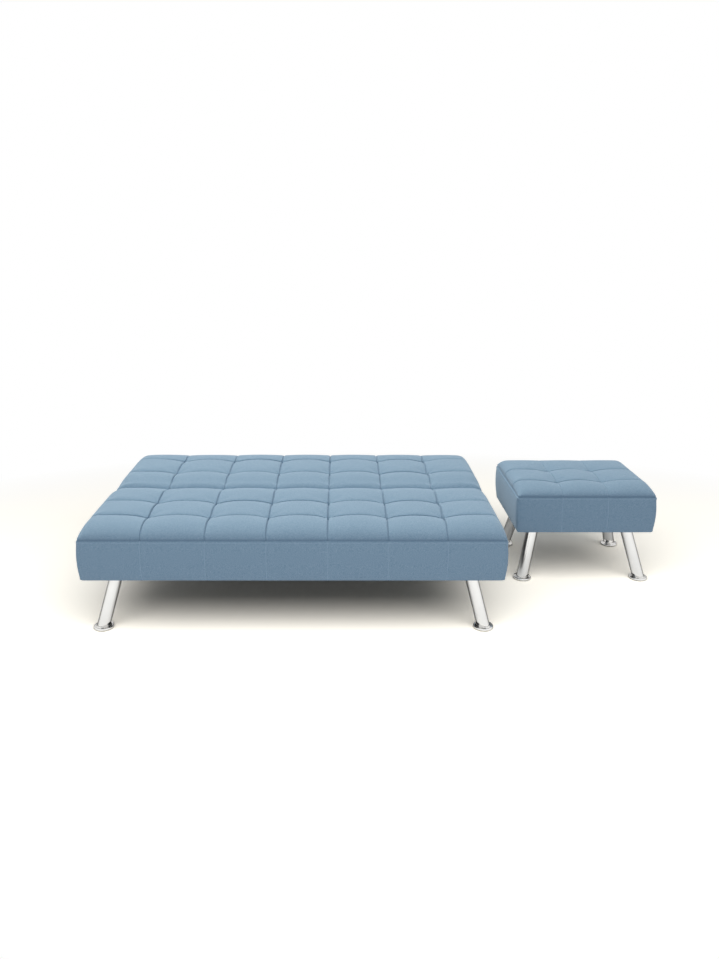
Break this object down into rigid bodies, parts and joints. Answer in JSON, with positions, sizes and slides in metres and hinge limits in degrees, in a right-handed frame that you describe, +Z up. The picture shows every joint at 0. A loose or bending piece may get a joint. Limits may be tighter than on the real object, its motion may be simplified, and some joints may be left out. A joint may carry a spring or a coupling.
{
  "type": "corner sofa bed",
  "caption": "Tufted click-clack sofa bed folded flat on splayed chrome tube legs, with a matching free-standing footstool.",
  "frame": {"origin": "on the floor, under the middle of the box round sofa and footstool at rest", "axes": "+X to the right along the sofa's length, +Y from the front panel to the rear, +Z up"},
  "size_m": [2.435, 1.12, 0.4457],
  "materials": {
    "upholstery": "fine speckled weave",
    "foam": "open cell foam",
    "timber": "sawn pine and plywood",
    "webbing": "woven elastic straps",
    "dust_cloth": "thin non-woven cloth",
    "black_steel": "black powder coat",
    "zinc_steel": "zinc plated",
    "chrome": "polished chrome",
    "plastic": "moulded black",
    "rubber": "matt black"
  },
  "bodies": {
    "base": {"seat_cover": "upholstery", "seat_foam": "foam", "seat_frame": "timber", "seat_webbing": "webbing", "seat_dust_cover": "dust_cloth", "base_rail_left": "black_steel", "base_rail_right": "black_steel", "base_cross_front": "black_steel", "base_cross_rear": "black_steel", "base_end_caps": "plastic", "seat_spacers": "plastic", "back_stop_pads": "rubber", "base_bolts": "zinc_steel", "leg_screws": "zinc_steel", "ratchet_plate_left": "zinc_steel", "ratchet_plate_right": "zinc_steel", "pivot_bolt_left": "zinc_steel", "pivot_bolt_right": "zinc_steel", "leg_front_left": "chrome", "leg_front_right": "chrome", "leg_rear_left": "chrome", "leg_rear_right": "chrome", "foot_front_left": "chrome", "foot_front_right": "chrome", "foot_rear_left": "chrome", "foot_rear_right": "chrome", "sofa_glides": "plastic"},
    "back": {"back_cover": "upholstery", "back_foam": "foam", "back_frame": "timber", "back_webbing": "webbing", "back_dust_cover": "dust_cloth", "hinge_arm_left": "black_steel", "hinge_arm_right": "black_steel", "hinge_washers": "zinc_steel", "arm_bolts": "zinc_steel", "pawl_pins": "zinc_steel", "pawl_springs": "zinc_steel"},
    "pawl_left": {"pawl_left": "zinc_steel"},
    "pawl_right": {"pawl_right": "zinc_steel"},
    "footstool": {"stool_cover": "upholstery", "stool_foam": "foam", "stool_frame": "timber", "stool_webbing": "webbing", "stool_dust_cover": "dust_cloth", "stool_leg_front_left": "chrome", "stool_leg_front_right": "chrome", "stool_leg_rear_left": "chrome", "stool_leg_rear_right": "chrome", "stool_foot_front_left": "chrome", "stool_foot_front_right": "chrome", "stool_foot_rear_left": "chrome", "stool_foot_rear_right": "chrome", "stool_glides": "plastic", "stool_screws": "zinc_steel"}
  },
  "joints": [
    {"name": "back_recline", "type": "hinge", "parent": "base", "child": "back", "pos_m": [-0.3775, 0.031, 0.379], "axis": [1, 0, 0], "range_deg": [0, 75]},
    {"name": "pawl_left_drop", "type": "hinge", "parent": "back", "child": "pawl_left", "pos_m": [-1.0525, 0.09256, 0.31063], "axis": [-1, 0, 0], "range_deg": [0, 15]},
    {"name": "pawl_right_drop", "type": "hinge", "parent": "back", "child": "pawl_right", "pos_m": [0.2975, 0.09256, 0.31063], "axis": [-1, 0, 0], "range_deg": [0, 15]},
    {"name": "stool_slide", "type": "slide", "parent": "base", "child": "footstool", "axis": [1, 0, 0], "range_m": [-0.12, 0.5]}
  ]
}
